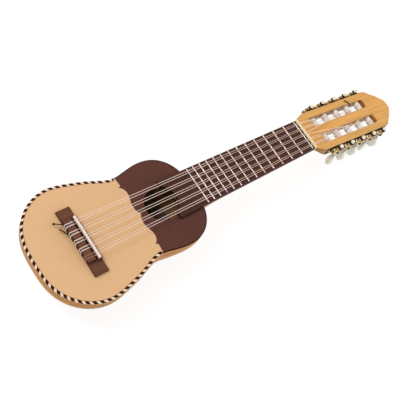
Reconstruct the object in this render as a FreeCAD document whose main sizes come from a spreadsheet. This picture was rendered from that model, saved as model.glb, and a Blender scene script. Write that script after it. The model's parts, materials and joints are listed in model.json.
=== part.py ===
import FreeCAD, Part
import math
import os
import re

import Sketcher
from FreeCAD import Placement, Rotation, Vector

# Charango: a ten-string lute with a carved bowl, a slotted head and geared tuners.
# X runs along the strings from the tail to the head, Y across them, Z out of the soundboard.
# The origin is the centre of the flat on the back of the bowl. All sizes are in millimetres.

DIMENSIONS = {
    # strings and frets
    "scale_length": 370.0,          # from the scale start to the zero fret
    "scale_start": -40.0,           # station of the saddle's front edge
    "fret_total": 13,
    "fret_height": 1.0,             # a half-round crown, so half its width too
    "fret_inset": 1.0,              # fret ends stop short of the fingerboard's edge
    "cut_over": 1.0,                # how far a cutting tool runs past what it cuts
    "tang_width": 0.5,
    "tang_depth": 1.5,
    "string_radius": 0.35,
    "string_gap": 0.03,             # clearance between a string and what it passes
    "string_tail": 1.5,             # string left showing behind the tie block
    "string_exit": 0.4,             # straight run in front of the tie block
    "course_spacing_saddle": 12.2,
    "pair_spacing_saddle": 3.7,
    "course_spacing_nut": 9.5,
    "pair_spacing_nut": 2.4,
    # body outline: stations along X and half widths
    "tail_station": -117.6,
    "lower_bout_station": -54.0,
    "lower_bout_half": 84.9,
    "waist_station": 36.5,
    "waist_half": 60.9,
    "upper_bout_station": 85.5,
    "upper_bout_half": 66.6,
    "neck_station": 127.0,
    "neck_shoulder_half": 31.0,
    # bowl
    "body_depth": 66.0,
    "rim_height": 10.5,             # upright part of the side
    "bowl_closing": 2.0,            # the rounded back would close this far below its flat
    "waist_fill": 1.2,              # share of the waist's hollow that is filled out at the back
    "side_wall": 4.0,
    "back_wall": 6.0,
    "neck_block_length": 15.0,      # solid wood next to the neck
    # soundboard and its trim
    "soundboard_thickness": 2.5,
    "hole_station": 77.0,
    "hole_radius": 25.0,
    "rope_width": 3.4,
    "rope_depth": 1.2,
    "edging_width": 1.2,
    "veneer_depth": 0.7,
    "rope_past_waist": 1.5,
    "veneer_ahead": 1.0,            # from the ends of the rope to the veneer
    "scallop_depth": 4.0,           # height of the veneer's centre cusp
    "scallop_half": 45.5,           # from the axis to the veneer's sharp points
    # bars under the soundboard
    "bar_width": 4.5,
    "bar_height": 10.0,
    "bar_hole_gap": 2.5,
    "fan_width": 3.0,
    "fan_height": 5.0,
    "fan_length": 118.0,
    "fan_station": -26.0,
    "fan_spacing": 22.0,            # between the middles of the braces
    "fan_angle": 7.0,
    # fingerboard
    "board_thickness": 5.0,
    "board_ahead": 10.0,            # end of the fingerboard past the middle of the sound hole
    "board_end_half": 30.0,
    "board_nut_half": 25.5,
    "bite_behind": 4.5,             # middle of the bite before the middle of the sound hole
    "bite_margin": 1.0,             # how much wider the bite is than the sound hole
    # nut
    "nut_gap": 3.5,
    "nut_thickness": 4.2,
    "nut_rise": 1.6,                # nut top above the fingerboard
    "nut_slot_radius": 0.45,
    # neck
    "neck_depth": 13.5,
    "neck_depth_body": 17.0,
    "heel_depth": 42.0,
    "heel_length": 36.0,
    # bridge
    "bridge_behind": 18.4,          # from the scale start back to the bridge's tail edge
    "bridge_ahead": 2.1,            # from the saddle to the bridge's front edge
    "bridge_half": 49.3,
    "wing_height": 3.5,
    "tie_block_length": 10.5,
    "tie_block_half": 31.5,
    "tie_block_height": 9.0,
    "tie_hole_height": 5.0,
    "tie_hole_radius": 0.7,
    "ridge_behind": 0.7,            # wood behind the saddle
    "ridge_half": 33.0,
    "ridge_height": 7.8,
    "saddle_thickness": 3.5,
    "saddle_half": 32.0,
    "saddle_height": 6.7,
    "saddle_inset": 3.0,
    "saddle_setback": 0.5,
    "saddle_crown": 1.2,
    # head, in its own frame: along the head, across it, and up from its face
    "head_lead": 2.0,               # from the zero fret to the start of the head's face
    "head_face_level": 3.5,         # face level above the soundboard at the head station
    "head_tilt": 10.0,
    "head_thickness": 15.5,
    "head_half": 33.6,
    "shoulder_start": 6.9,
    "shoulder_lead": 15.0,          # from the end of the shoulder to the first tuner
    "scoop_length": 34.0,           # over which the neck's round back runs out into the head
    "crown_follow": 19.5,           # from the last tuner to the start of the crown
    "crown_length": 34.0,
    "slot_lead": 8.5,               # slot before the first tuner
    "slot_follow": 8.8,             # slot past the last tuner
    "slot_inner": 7.5,
    "slot_width": 15.0,
    "slot_tip_round": 4.0,
    "slot_root_round": 2.0,
    "ramp_length": 9.0,
    "ramp_depth": 1.8,
    # tuners
    "tuner_first": 42.5,
    "tuner_pitch": 26.5,
    "axis_depth": 7.0,
    "barrel_radius": 4.75,
    "barrel_side_gap": 0.15,
    "pivot_radius": 2.0,
    "pivot_length": 5.9,
    "shaft_radius": 3.0,
    "running_gap": 0.05,
    "boss_radius": 1.8,
    "plate_thickness": 1.0,
    "plate_depth": 14.0,
    "plate_lead": 14.0,             # plate before the first tuner
    "plate_follow": 17.5,           # plate past the last tuner
    "ear_thickness": 1.4,
    "ear_radius": 3.7,
    "upper_ear_depth": 1.0,
    "lower_ear_depth": 11.6,
    "worm_offset": 4.8,             # worm axis outside the head's side
    "gear_teeth": 14,
    "gear_pitch_radius": 5.95,
    "gear_root_radius": 5.0,
    "gear_outer_radius": 6.6,
    "gear_thickness": 3.0,
    "gear_tooth": 1.1,              # tooth thickness at the pitch circle
    "worm_pitch_radius": 2.75,
    "worm_root_radius": 1.9,
    "worm_outer_radius": 3.4,
    "worm_tooth": 0.8,              # thread thickness at the pitch cylinder
    "worm_shaft_radius": 1.5,
    "thread_sink": 0.15,            # thread sunk into the worm's core
    "thread_stop": 0.1,             # core left bare past each end of the thread
    "flank_angle": 20.0,
    "end_gap": 0.1,
    "button_top_depth": 23.5,
    "button_length": 19.0,
    "button_width": 14.0,
    "button_thickness": 7.5,
    "button_round": 2.8,
    "collar_radius": 2.6,
    "collar_length": 3.0,
    "shaft_seat": 9.0,              # how far the worm shaft reaches into the button
    "screw_offset": 16.0,           # screw position past its gear axis
    "screw_head_radius": 2.0,
    "screw_head_height": 1.0,
    "screw_shank_radius": 1.2,
    "screw_length": 7.0,
    "screw_inset": 2.6,             # end screws from the ends of the plate
}

# Half outline of the body between the named stations, as fractions of each stretch:
# along it, and from the smaller half width (or the axis) to the larger one.
TAIL_CURVE = [(1.0, 0.0), (0.926, 0.464), (0.573, 0.835)]
WAIST_CURVE = [(0.38, 0.755), (0.665, 0.411)]
UPPER_CURVE = [(0.34, 0.39)]
SHOULDER_CURVE = [(0.46, 0.845), (0.78, 0.525)]

# Front edge of the veneer, as fractions of the scallops' depth past the veneer station and of
# the distance from the axis to the sharp points. The first list runs from the centre cusp to
# the sharp point, the second straight on towards the side.
VENEER_FRONT = [(1.0, 0.0), (0.0, 0.198), (0.075, 0.418), (0.925, 0.681), (0.6, 0.879), (-0.75, 1.0)]
VENEER_SIDE = [(0.2, 1.035), (0.0, 1.3)]

# Bowl sections below the upright rim: fractions of the rounded depth.
BOWL_STEPS = [0.0, 0.18, 0.38, 0.58, 0.76, 0.9, 1.0]

# Crown of the head: fractions of its length and of the head's half width.
CROWN_EDGE = [(0.12, 0.985), (0.235, 0.928)]
CROWN_DENT = [(0.53, 0.675), (0.668, 0.58)]
CROWN_TIP = [(0.765, 0.446), (0.926, 0.29), (1.0, 0.0)]

# Shoulders of the head: fractions from the nut end to the full width.
SHOULDER_STEPS = [(0.0, 0.0), (0.45, 0.67), (1.0, 1.0)]

# Neck sections: fraction of the heel's length from the body, and how much of the heel is left.
HEEL_STEPS = [(-1.0, 1.05), (0.0, 0.98), (0.2, 0.8), (0.45, 0.37), (0.7, 0.11), (1.0, 0.0)]

# String end positions on the rollers, from the nut outwards: fractions of the slot's width.
ROLLER_SPOTS = [0.767, 0.667, 0.367, 0.267, 0.633]

# Rest angles of the tuner buttons, in degrees about their shafts.
BUTTON_ANGLES = [15, -35, 60, 100, -10, 40, 80, -60, 5, 120]

TOUCH = 1e-6  # two places closer than this are the same

doc = FreeCAD.newDocument("Charango")
sheet = doc.addObject("Spreadsheet::Sheet", "Dims")
pieces = []


def fill_sheet():
    for row, (name, value) in enumerate(DIMENSIONS.items(), 1):
        sheet.set(f"A{row}", name)
        sheet.set(f"B{row}", str(value))
        sheet.setAlias(f"B{row}", name)
    doc.recompute()


def size(name):
    return float(sheet.get(name))


def bound(text):
    """Expression text with each dimension name pointed at its cell."""
    return re.sub(r"[a-z_]+", lambda word: prefixed(word.group()), str(text))


def prefixed(word):
    return f"Dims.{word}" if word in DIMENSIONS else word


def add(kind, name, **expressions):
    item = doc.addObject(kind, name)
    item.Label = name
    for prop, text in expressions.items():
        item.setExpression(prop, bound(text))
    return item


def place(item, x=0, y=0, z=0, rotation=None):
    if rotation:
        item.Placement = Placement(Vector(), rotation)
    for axis, text in zip("xyz", (x, y, z)):
        item.setExpression(f"Placement.Base.{axis}", bound(text))
    return item


def box(name, x, y, z, length, width, height):
    return place(add("Part::Box", name, Length=length, Width=width, Height=height), x, y, z)


def along(axis):
    """Rotation that turns a cylinder's own Z towards the named axis."""
    return {"x": Rotation(Vector(0, 1, 0), 90), "y": Rotation(Vector(1, 0, 0), -90), "z": None}[axis]


def cylinder(name, axis, x, y, z, radius, height):
    item = add("Part::Cylinder", name, Radius=radius, Height=height)
    return place(item, x, y, z, along(axis))


def cut(name, base, *tools):
    item = add("Part::Cut", name)
    item.Base = base
    item.Tool = tools[0] if len(tools) == 1 else group(f"{name}_tools", *tools)
    return item


def fuse(name, *shapes):
    item = add("Part::MultiFuse", name)
    item.Shapes = list(shapes)
    return item


def common(name, base, tool):
    item = add("Part::Common", name)
    item.Base = base
    item.Tool = tool
    return item


def group(name, *links):
    item = add("Part::Compound", name)
    item.Links = list(links)
    return item


def mirrored(name, source):
    """The same piece on the other side of the XZ plane."""
    item = add("Part::Mirroring", name)
    item.Source = source
    item.Normal = Vector(0, 1, 0)
    return item


def feature(name, shape, placement=None):
    item = add("Part::Feature", name)
    item.Shape = shape
    if placement:
        item.Placement = placement
    return item


def rounded(name, base, radius, wanted):
    """Fillet of the edges of base that the wanted test accepts."""
    doc.recompute()
    item = add("Part::Fillet", name)
    item.Base = base
    edges = enumerate(base.Shape.Edges, 1)
    item.Edges = [(number, size(radius), size(radius)) for number, edge in edges if wanted(edge)]
    return item


def keep(item):
    """Marks an object as one of the finished pieces."""
    pieces.append(item)
    return item


# ---------------------------------------------------------------- body

def half_outline(filled=0.0):
    """Points of the body's outline on one side, from the tail to the neck."""
    tail = size("tail_station")
    lower, lower_half = size("lower_bout_station"), size("lower_bout_half")
    upper, upper_half = size("upper_bout_station"), size("upper_bout_half")
    neck, neck_half = size("neck_station"), size("neck_shoulder_half")
    waist = size("waist_station")
    waist_half = size("waist_half") + filled * (upper_half - size("waist_half"))
    points = [(lower + f * (tail - lower), g * lower_half) for f, g in TAIL_CURVE]
    points.append((lower, lower_half))
    points += [(lower + f * (waist - lower), waist_half + g * (lower_half - waist_half))
               for f, g in WAIST_CURVE]
    points.append((waist, waist_half))
    points += [(waist + f * (upper - waist), waist_half + g * (upper_half - waist_half))
               for f, g in UPPER_CURVE]
    points.append((upper, upper_half))
    points += [(upper + f * (neck - upper), neck_half + g * (upper_half - neck_half))
               for f, g in SHOULDER_CURVE]
    points.append((neck, neck_half))
    return points


def spline(points):
    curve = Part.BSplineCurve()
    curve.interpolate(points)
    return curve


def outline_wire(level, scale=1.0, inset=0.0, filled=0.0):
    """Closed outline at a height, scaled about the origin or moved inwards all round."""
    upper_side = [Vector(x * scale, y * scale, level) for x, y in half_outline(filled)]
    lower_side = [Vector(point.x, -point.y, level) for point in upper_side[1:]]
    curve = spline(list(reversed(upper_side)) + lower_side)
    if inset:
        curve = spline(inward_points(curve, inset))
    closing = Part.makeLine(curve.value(curve.LastParameter), curve.value(curve.FirstParameter))
    return Part.Wire([curve.toShape(), closing])


def inward_points(curve, inset):
    """Points of a curve that runs anticlockwise, moved to its left by the inset."""
    steps = 48
    span = curve.LastParameter - curve.FirstParameter
    points = []
    for number in range(steps + 1):
        parameter = curve.FirstParameter + span * number / steps
        run = curve.tangent(parameter)[0]
        points.append(curve.value(parameter) + Vector(-run.y, run.x, 0) * inset)
    return points


def slab(bottom, top, inset=0.0):
    """The outline as a flat plate between two heights."""
    return Part.Face(outline_wire(bottom, inset=inset)).extrude(Vector(0, 0, top - bottom))


def station_block(start, end, bottom, top):
    """A block that covers the whole width between two stations."""
    half = 2 * size("lower_bout_half")
    return Part.makeBox(end - start, 2 * half, top - bottom, Vector(start, -half, bottom))


def bowl_loft(inset, depth):
    """The rounded bowl below the upright rim, down to a depth."""
    rim_bottom = size("body_depth") - size("rim_height")
    radius = rim_bottom + size("bowl_closing") - inset
    wires = []
    for step in BOWL_STEPS:
        scale = math.sqrt(1 - (step * depth / radius) ** 2)
        scale *= (size("lower_bout_half") - inset) / size("lower_bout_half")
        filled = size("waist_fill") * step * depth / rim_bottom
        wires.append(outline_wire(rim_bottom - step * depth, scale, filled=filled))
    return Part.makeLoft(wires, True)


def bowl_outside():
    rim_bottom = size("body_depth") - size("rim_height")
    joint = size("body_depth") - size("soundboard_thickness")
    return bowl_loft(0, rim_bottom).fuse(slab(rim_bottom, joint)).removeSplitter()


def bowl_inside():
    """The hollow, open at the top and closed by the neck block."""
    rim_bottom = size("body_depth") - size("rim_height")
    joint = size("body_depth") - size("soundboard_thickness")
    wall = size("side_wall")
    scale = (size("lower_bout_half") - wall) / size("lower_bout_half")
    rim = Part.Face(outline_wire(rim_bottom, scale)).extrude(Vector(0, 0, joint - rim_bottom))
    hollow = bowl_loft(wall, rim_bottom - size("back_wall")).fuse(rim)
    neck = size("neck_station")
    block = station_block(neck - size("neck_block_length"), neck, 0, joint)
    return hollow.cut(block).removeSplitter()


def make_body():
    top = size("body_depth")
    joint = top - size("soundboard_thickness")
    tail = size("tail_station")
    rope_end = size("waist_station") + size("rope_past_waist")
    neck = size("neck_station")
    outside = feature("bowl_outside", bowl_outside())
    inside = feature("bowl_hollow", bowl_inside())
    rope_bottom = top - size("rope_depth")
    lower_part = station_block(tail, rope_end, rope_bottom, top)
    rope_shape = slab(rope_bottom, top).cut(slab(rope_bottom, top, size("rope_width")))
    rope = keep(feature("rope_binding", rope_shape.common(lower_part)))
    upper_part = station_block(rope_end, neck, joint, top)
    under_board = Part.makeBox(neck, 2 * size("board_end_half"), top,
                               Vector(size("upper_bout_station"), -size("board_end_half"), 0))
    edging_shape = slab(joint, top).cut(slab(joint, top, size("edging_width")))
    edging_shape = edging_shape.common(upper_part).cut(under_board)
    edging = keep(feature("upper_edging", edging_shape))
    keep(cut("bowl", outside, inside, rope))
    blank = feature("soundboard_blank", slab(joint, top))
    hole = cylinder("sound_hole", "z", "hole_station", 0, 0, "hole_radius", "2 * body_depth")
    region = feature("veneer_region", veneer_region())
    veneer_blank = common("veneer_blank", blank, region)
    keep(cut("upper_veneer", veneer_blank, hole, edging))
    keep(cut("soundboard", blank, hole, region, rope, edging))
    return inside


def veneer_region():
    """Block with the scalloped front: a centre cusp and a sharp point on each side."""
    station = size("waist_station") + size("rope_past_waist") + size("veneer_ahead")
    top = size("body_depth")
    bottom = top - size("veneer_depth")
    far = size("neck_station")
    beyond = 2 * size("upper_bout_half")
    deep = size("scallop_depth")
    half = size("scallop_half")
    inner = [Vector(station + f * deep, g * half, bottom) for f, g in VENEER_FRONT]
    outer = [inner[-1]] + [Vector(station + f * deep, g * half, bottom) for f, g in VENEER_SIDE]
    outer.append(Vector(station, beyond, bottom))
    curves = [spline(inner).toShape()]
    curves += [Part.makeLine(start, end) for start, end in zip(outer, outer[1:])]
    opposite = [curve.mirror(Vector(), Vector(0, 1, 0)) for curve in curves]
    corners = [outer[-1], Vector(far, beyond, bottom), Vector(far, -beyond, bottom),
               Vector(station, -beyond, bottom)]
    rest = [Part.makeLine(start, end) for start, end in zip(corners, corners[1:])]
    wire = Part.Wire(Part.__sortEdges__(curves + rest + opposite))
    return Part.Face(wire).extrude(Vector(0, 0, top - bottom))


def make_bars(inside):
    top = "body_depth - soundboard_thickness"
    reach = "4 * lower_bout_half"
    stations = {
        "lower_bar": "hole_station - hole_radius - bar_hole_gap - bar_width",
        "upper_bar": "hole_station + hole_radius + bar_hole_gap",
    }
    for name, station in stations.items():
        bar = box(f"{name}_blank", station, f"-({reach}) / 2", f"{top} - bar_height",
                  "bar_width", reach, "bar_height")
        keep(common(name, bar, inside))
    fans = []
    for side in (-1, 0, 1):
        strip = add("Part::Box", f"fan_{side + 2}", Length="fan_length", Width="fan_width",
                    Height="fan_height")
        turn = Rotation(Vector(0, 0, 1), -side * size("fan_angle"))
        across = f"{side} * (fan_spacing + fan_length / 2 * sin(fan_angle)) - fan_width / 2"
        place(strip, "fan_station - fan_length / 2", across, f"{top} - fan_height", turn)
        fans.append(strip)
    keep(group("fan_braces", *fans))


# ---------------------------------------------------------------- neck and fingerboard

def board_start():
    return size("hole_station") + size("board_ahead")


def board_half(station):
    """Half width of the fingerboard and neck at a station."""
    nut_front = size("scale_start") + size("scale_length") + size("nut_gap")
    share = (nut_front - station) / (nut_front - board_start())
    return size("board_nut_half") + share * (size("board_end_half") - size("board_nut_half"))


def fret_stations():
    return [size("scale_start") + size("scale_length") * 2 ** (-number / 12)
            for number in range(int(size("fret_total")) + 1)]


def d_section(station, half, depth):
    """Neck section: flat on top, half an ellipse below."""
    level = size("body_depth")
    steps = 10
    turns = [math.pi * number / steps for number in range(steps + 1)]
    points = [Vector(station, half * math.cos(turn), level - depth * math.sin(turn)) for turn in turns]
    return Part.Wire([spline(points).toShape(), Part.makeLine(points[-1], points[0])])


def neck_loft():
    neck = size("neck_station")
    heel = size("heel_length")
    nut_back = size("scale_start") + size("scale_length") + size("nut_gap") + size("nut_thickness")
    extra = size("heel_depth") - size("neck_depth_body")
    wires = []
    for along_heel, share in HEEL_STEPS:
        station = neck + along_heel * heel
        half = board_half(max(station, neck))
        wires.append(d_section(station, half, size("neck_depth_body") + share * extra))
    nut_end = d_section(nut_back, size("board_nut_half"), size("neck_depth"))
    shaft = Part.makeLoft([wires[-1], nut_end], True, True)
    cubic = 3
    return Part.makeLoft(wires, True, False, False, cubic).fuse(shaft)


def make_neck():
    top = size("body_depth")
    blank = feature("neck_blank", neck_loft())
    outline = feature("body_envelope", bowl_outside().fuse(slab(top - size("soundboard_thickness"), top)))
    keep(cut("neck", blank, outline))


def make_fingerboard():
    top = size("body_depth")
    start = board_start()
    nut_front = size("scale_start") + size("scale_length") + size("nut_gap")
    corners = [Vector(start, -size("board_end_half"), top), Vector(start, size("board_end_half"), top),
               Vector(nut_front, size("board_nut_half"), top), Vector(nut_front, -size("board_nut_half"), top)]
    face = Part.Face(Part.makePolygon(corners + corners[:1]))
    blank = feature("fingerboard_blank", face.extrude(Vector(0, 0, size("board_thickness"))))
    bite = cylinder("fingerboard_bite", "z", "hole_station - bite_behind", 0, 0,
                    "hole_radius + bite_margin", "2 * body_depth")
    frets = []
    slots = []
    half_slot = size("tang_width") / 2
    crown_half = size("fret_height")
    board_top = top + size("board_thickness")
    for station in fret_stations():
        width = board_half(station)
        reach = width - size("fret_inset")
        slot_corner = Vector(station - half_slot, -reach, board_top - size("tang_depth"))
        tang = Part.makeBox(2 * half_slot, 2 * reach, size("tang_depth"), slot_corner)
        crown = Part.makeCylinder(crown_half, 2 * reach, Vector(station, -reach, board_top), Vector(0, 1, 0))
        above = Part.makeBox(2 * crown_half, 2 * width, crown_half,
                             Vector(station - crown_half, -width, board_top))
        slots.append(tang)
        frets.append(crown.common(above).fuse(tang).removeSplitter())
    tangs = feature("fret_tangs", Part.makeCompound(slots))
    keep(cut("fingerboard", blank, bite, tangs))
    keep(feature("frets", Part.makeCompound(frets)))


# ---------------------------------------------------------------- strings

def string_rows(course, pair):
    """Half of the string positions across the instrument, from the outside inwards."""
    spots = []
    for number in (2, 1, 0):
        spots += [number * course + pair / 2, number * course - pair / 2]
    return spots[:5]


def head_placement():
    station = size("scale_start") + size("scale_length") + size("head_lead")
    root = Vector(station, 0, size("body_depth") + size("head_face_level"))
    return Placement(root, Rotation(Vector(0, 1, 0), size("head_tilt")))


def tuner_station(number):
    return size("tuner_first") + number * size("tuner_pitch")


def string_path(number, side):
    """Corner points of one string from the tie block, over the saddle, to its roller."""
    at_saddle = string_rows(size("course_spacing_saddle"), size("pair_spacing_saddle"))[number]
    at_nut = string_rows(size("course_spacing_nut"), size("pair_spacing_nut"))[number]
    top = size("body_depth")
    radius = size("string_radius") + size("string_gap")
    tie_start = size("scale_start") - size("bridge_behind")
    tie_end = tie_start + size("tie_block_length")
    tie_level = top + size("tie_hole_height")
    saddle_back = size("scale_start") - size("saddle_setback") - size("saddle_thickness")
    saddle_top = top + size("ridge_height") - size("saddle_inset") + size("saddle_height")
    crown = size("saddle_crown")
    around = (crown + radius) * math.tan(math.pi / 8)
    zero = size("scale_start") + size("scale_length")
    nut_back = zero + size("nut_gap") + size("nut_thickness")
    fret_top = top + size("board_thickness") + size("fret_height")
    saddle = saddle_back + crown - around
    spread = (at_nut - at_saddle) / (zero - saddle)
    height = size("barrel_radius") - size("axis_depth") + radius
    across = size("slot_inner") + ROLLER_SPOTS[number] * size("slot_width")
    points = [
        Vector(tie_start - size("string_tail"), at_saddle, tie_level),
        Vector(tie_end + size("string_exit"), at_saddle, tie_level),
        Vector(saddle_back - radius, at_saddle, saddle_top - crown + around),
        Vector(saddle, at_saddle, saddle_top + radius),
        Vector(zero, at_nut, fret_top + radius),
        Vector(nut_back, at_nut + spread * (nut_back - zero), fret_top + radius),
        head_placement().multVec(Vector(tuner_station(number), across, height)),
    ]
    return [Vector(point.x, side * point.y, point.z) for point in points]


def tube(points, radius):
    """Round tube along straight runs, with a ball at each corner."""
    parts = []
    for start, end in zip(points, points[1:]):
        parts.append(Part.makeCylinder(radius, start.distanceToPoint(end), start, end - start))
    balls = [Part.makeSphere(radius, point) for point in points[1:-1]]
    return parts[0].fuse(parts[1:] + balls).removeSplitter()


def make_strings():
    strings = []
    for side in (1, -1):
        for number in range(5):
            strings.append(tube(string_path(number, side), size("string_radius")).Solids[0])
    keep(feature("strings", Part.makeCompound(strings)))


def make_nut():
    blank = box("nut_blank", "scale_start + scale_length + nut_gap", "-board_nut_half", "body_depth",
                "nut_thickness", "2 * board_nut_half", "board_thickness + nut_rise")
    slots = []
    radius = size("nut_slot_radius")
    length = size("nut_gap") + size("nut_thickness") + size("cut_over")
    for side in (1, -1):
        for number in range(5):
            start, end = string_path(number, side)[4:6]
            slot = Part.makeCylinder(radius, length, start, end - start)
            opening = Part.makeBox(length, 2 * radius, size("nut_rise"), start - Vector(0, radius, 0))
            opening.rotate(start, Vector(0, 0, 1), math.degrees(math.atan2(end.y - start.y, end.x - start.x)))
            slots.append(slot.fuse(opening))
    tools = feature("nut_slots", Part.makeCompound(slots))
    keep(cut("nut", blank, tools))


def make_bridge():
    tail = "scale_start - bridge_behind"
    saddle_back = "scale_start - saddle_setback - saddle_thickness"
    wings = box("bridge_wings", tail, "-bridge_half", "body_depth",
                "bridge_behind - saddle_setback + bridge_ahead", "2 * bridge_half", "wing_height")
    tie = box("tie_block", tail, "-tie_block_half", "body_depth",
              "tie_block_length", "2 * tie_block_half", "tie_block_height")
    ridge = box("saddle_ridge", f"{saddle_back} - ridge_behind", "-ridge_half", "body_depth",
                "ridge_behind + saddle_thickness + bridge_ahead", "2 * ridge_half", "ridge_height")
    saddle_box = box("saddle_blank", saddle_back, "-saddle_half", "body_depth + ridge_height - saddle_inset",
                     "saddle_thickness", "2 * saddle_half", "saddle_height")
    holes = []
    for side in (1, -1):
        for number in range(5):
            course = 2 - number // 2
            pair = 1 - 2 * (number % 2)
            across = f"{side} * ({course} * course_spacing_saddle + {pair} * pair_spacing_saddle / 2)"
            holes.append(cylinder(f"tie_hole_{len(holes) + 1}", "x", f"{tail} - cut_over", across,
                                  "body_depth + tie_hole_height", "tie_hole_radius",
                                  "tie_block_length + 2 * cut_over"))
    blank = fuse("bridge_blank", wings, tie, ridge)
    keep(cut("bridge", blank, saddle_box, *holes))
    keep(rounded("saddle", saddle_box, "saddle_crown", saddle_top_edge))


def saddle_top_edge(edge):
    box_top = size("body_depth") + size("ridge_height") - size("saddle_inset") + size("saddle_height")
    level = all(abs(vertex.Z - box_top) < TOUCH for vertex in edge.Vertexes)
    return level and edge.Length > size("saddle_half")


# ---------------------------------------------------------------- head

def head_edges(side):
    """Edges of the head's outline on one side, in the head's own frame."""
    half = size("head_half")
    start = size("shoulder_start")
    width = size("board_nut_half")
    crown = tuner_station(4) + size("crown_follow")
    shoulder_end = tuner_station(0) - size("shoulder_lead")

    def crown_points(steps):
        return [Vector(crown + f * size("crown_length"), side * g * half, 0) for f, g in steps]

    shoulder = [Vector(start + f * (shoulder_end - start), side * (width + g * (half - width)), 0)
                for f, g in SHOULDER_STEPS]
    root = Vector(0, side * width, 0)
    corner = Vector(crown, side * half, 0)
    edge = crown_points(CROWN_EDGE)
    dent = crown_points(CROWN_DENT)
    tip = crown_points(CROWN_TIP)
    return [
        Part.makeLine(root, shoulder[0]),
        spline(shoulder).toShape(),
        Part.makeLine(shoulder[-1], corner),
        spline([corner] + edge).toShape(),
        spline([edge[-1]] + dent).toShape(),
        spline([dent[-1]] + tip).toShape(),
    ]


def head_blank():
    width = size("board_nut_half")
    closing = Part.makeLine(Vector(0, -width, 0), Vector(0, width, 0))
    wire = Part.Wire(Part.__sortEdges__(head_edges(1) + head_edges(-1) + [closing]))
    return Part.Face(wire).extrude(Vector(0, 0, -size("head_thickness")))


def slot_tool():
    """One string slot with its rounded corners and the ramp at the nut end."""
    thickness = size("head_thickness")
    start, end = tuner_station(0) - size("slot_lead"), tuner_station(4) + size("slot_follow")
    inner, width = size("slot_inner"), size("slot_width")
    slot = Part.makeBox(end - start, width, 2 * thickness, Vector(start, inner, -1.5 * thickness))
    slot = slot.makeFillet(size("slot_tip_round"), upright_edges(slot, end))
    slot = slot.makeFillet(size("slot_root_round"), upright_edges(slot, start))
    first = start - size("ramp_length")
    last = start + size("slot_root_round")
    over = size("cut_over")
    ramp = [Vector(first, inner, 0), Vector(last, inner, -size("ramp_depth")),
            Vector(last, inner, over), Vector(first, inner, over)]
    wedge = Part.Face(Part.makePolygon(ramp + ramp[:1])).extrude(Vector(0, width, 0))
    return slot.fuse(wedge)


def upright_edges(shape, station):
    """Edges parallel to Z at a station."""
    return [edge for edge in shape.Edges
            if all(abs(vertex.X - station) < TOUCH for vertex in edge.Vertexes)
            and abs(edge.Vertexes[0].Y - edge.Vertexes[-1].Y) < TOUCH]


def shoulder_scoop():
    """What leaves the head's lower edges so that the neck's round back runs out into them."""
    nut_back = size("scale_start") + size("scale_length") + size("nut_gap") + size("nut_thickness")
    reach = size("scoop_length")
    narrow = d_section(nut_back, size("board_nut_half"), size("neck_depth"))
    wide = d_section(nut_back + reach, 2 * size("head_half"), 2 * size("head_thickness"))
    block = Part.makeBox(reach, 4 * size("head_half"), size("body_depth"),
                         Vector(nut_back, -2 * size("head_half"), 0))
    return block.cut(Part.makeLoft([narrow, wide], True, True))


def make_headstock():
    nut_back = "scale_start + scale_length + nut_gap + nut_thickness"
    bores = []
    for number in range(5):
        station = f"tuner_first + {number} * tuner_pitch"
        bores.append(cylinder(f"shaft_bore_{number + 1}", "y", station, "slot_inner + slot_width / 2",
                              "-axis_depth", "shaft_radius + running_gap", "head_half"))
        bores.append(cylinder(f"pivot_bore_{number + 1}", "y", station, "slot_inner - pivot_length - end_gap",
                              "-axis_depth", "pivot_radius + running_gap", "slot_width"))
    for number, station in enumerate(screw_stations(), 1):
        bores.append(cylinder(f"screw_bore_{number}", "y", station, "head_half + plate_thickness - screw_length",
                              "-axis_depth", "screw_shank_radius", "screw_length"))
    slot = feature("string_slot", slot_tool())
    tools = group("head_tools_upper", slot, *bores)
    opposite = mirrored("head_tools_lower", tools)
    blank = feature("head_blank", head_blank())
    shaped = cut("head_shaped", blank, tools, opposite)
    tilted = group("head_tilted", shaped)
    tilted.Placement = head_placement()
    neck_side = box("neck_side", f"{nut_back} - head_thickness * 2", "-head_half", 0,
                    "head_thickness * 2", "2 * head_half", "2 * body_depth")
    scoop = feature("shoulder_scoop", shoulder_scoop())
    keep(cut("headstock", tilted, neck_side, scoop))


# ---------------------------------------------------------------- tuners

def screw_stations():
    """Expression texts for the screws of one plate: both ends, and between the tuners."""
    between = [f"tuner_first + screw_offset + {number} * tuner_pitch" for number in range(4)]
    start, end = plate_ends()
    return [f"{start} + screw_inset"] + between + [f"{end} - screw_inset"]


def plate_ends():
    """Expression texts for the two ends of a tuner plate."""
    return "tuner_first - plate_lead", "tuner_first + 4 * tuner_pitch + plate_follow"


def place_on_head(item, station, across, height, turn=None):
    spot = Placement(Vector(station, across, height), turn or Rotation())
    item.Placement = head_placement().multiply(spot)
    return item


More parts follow.
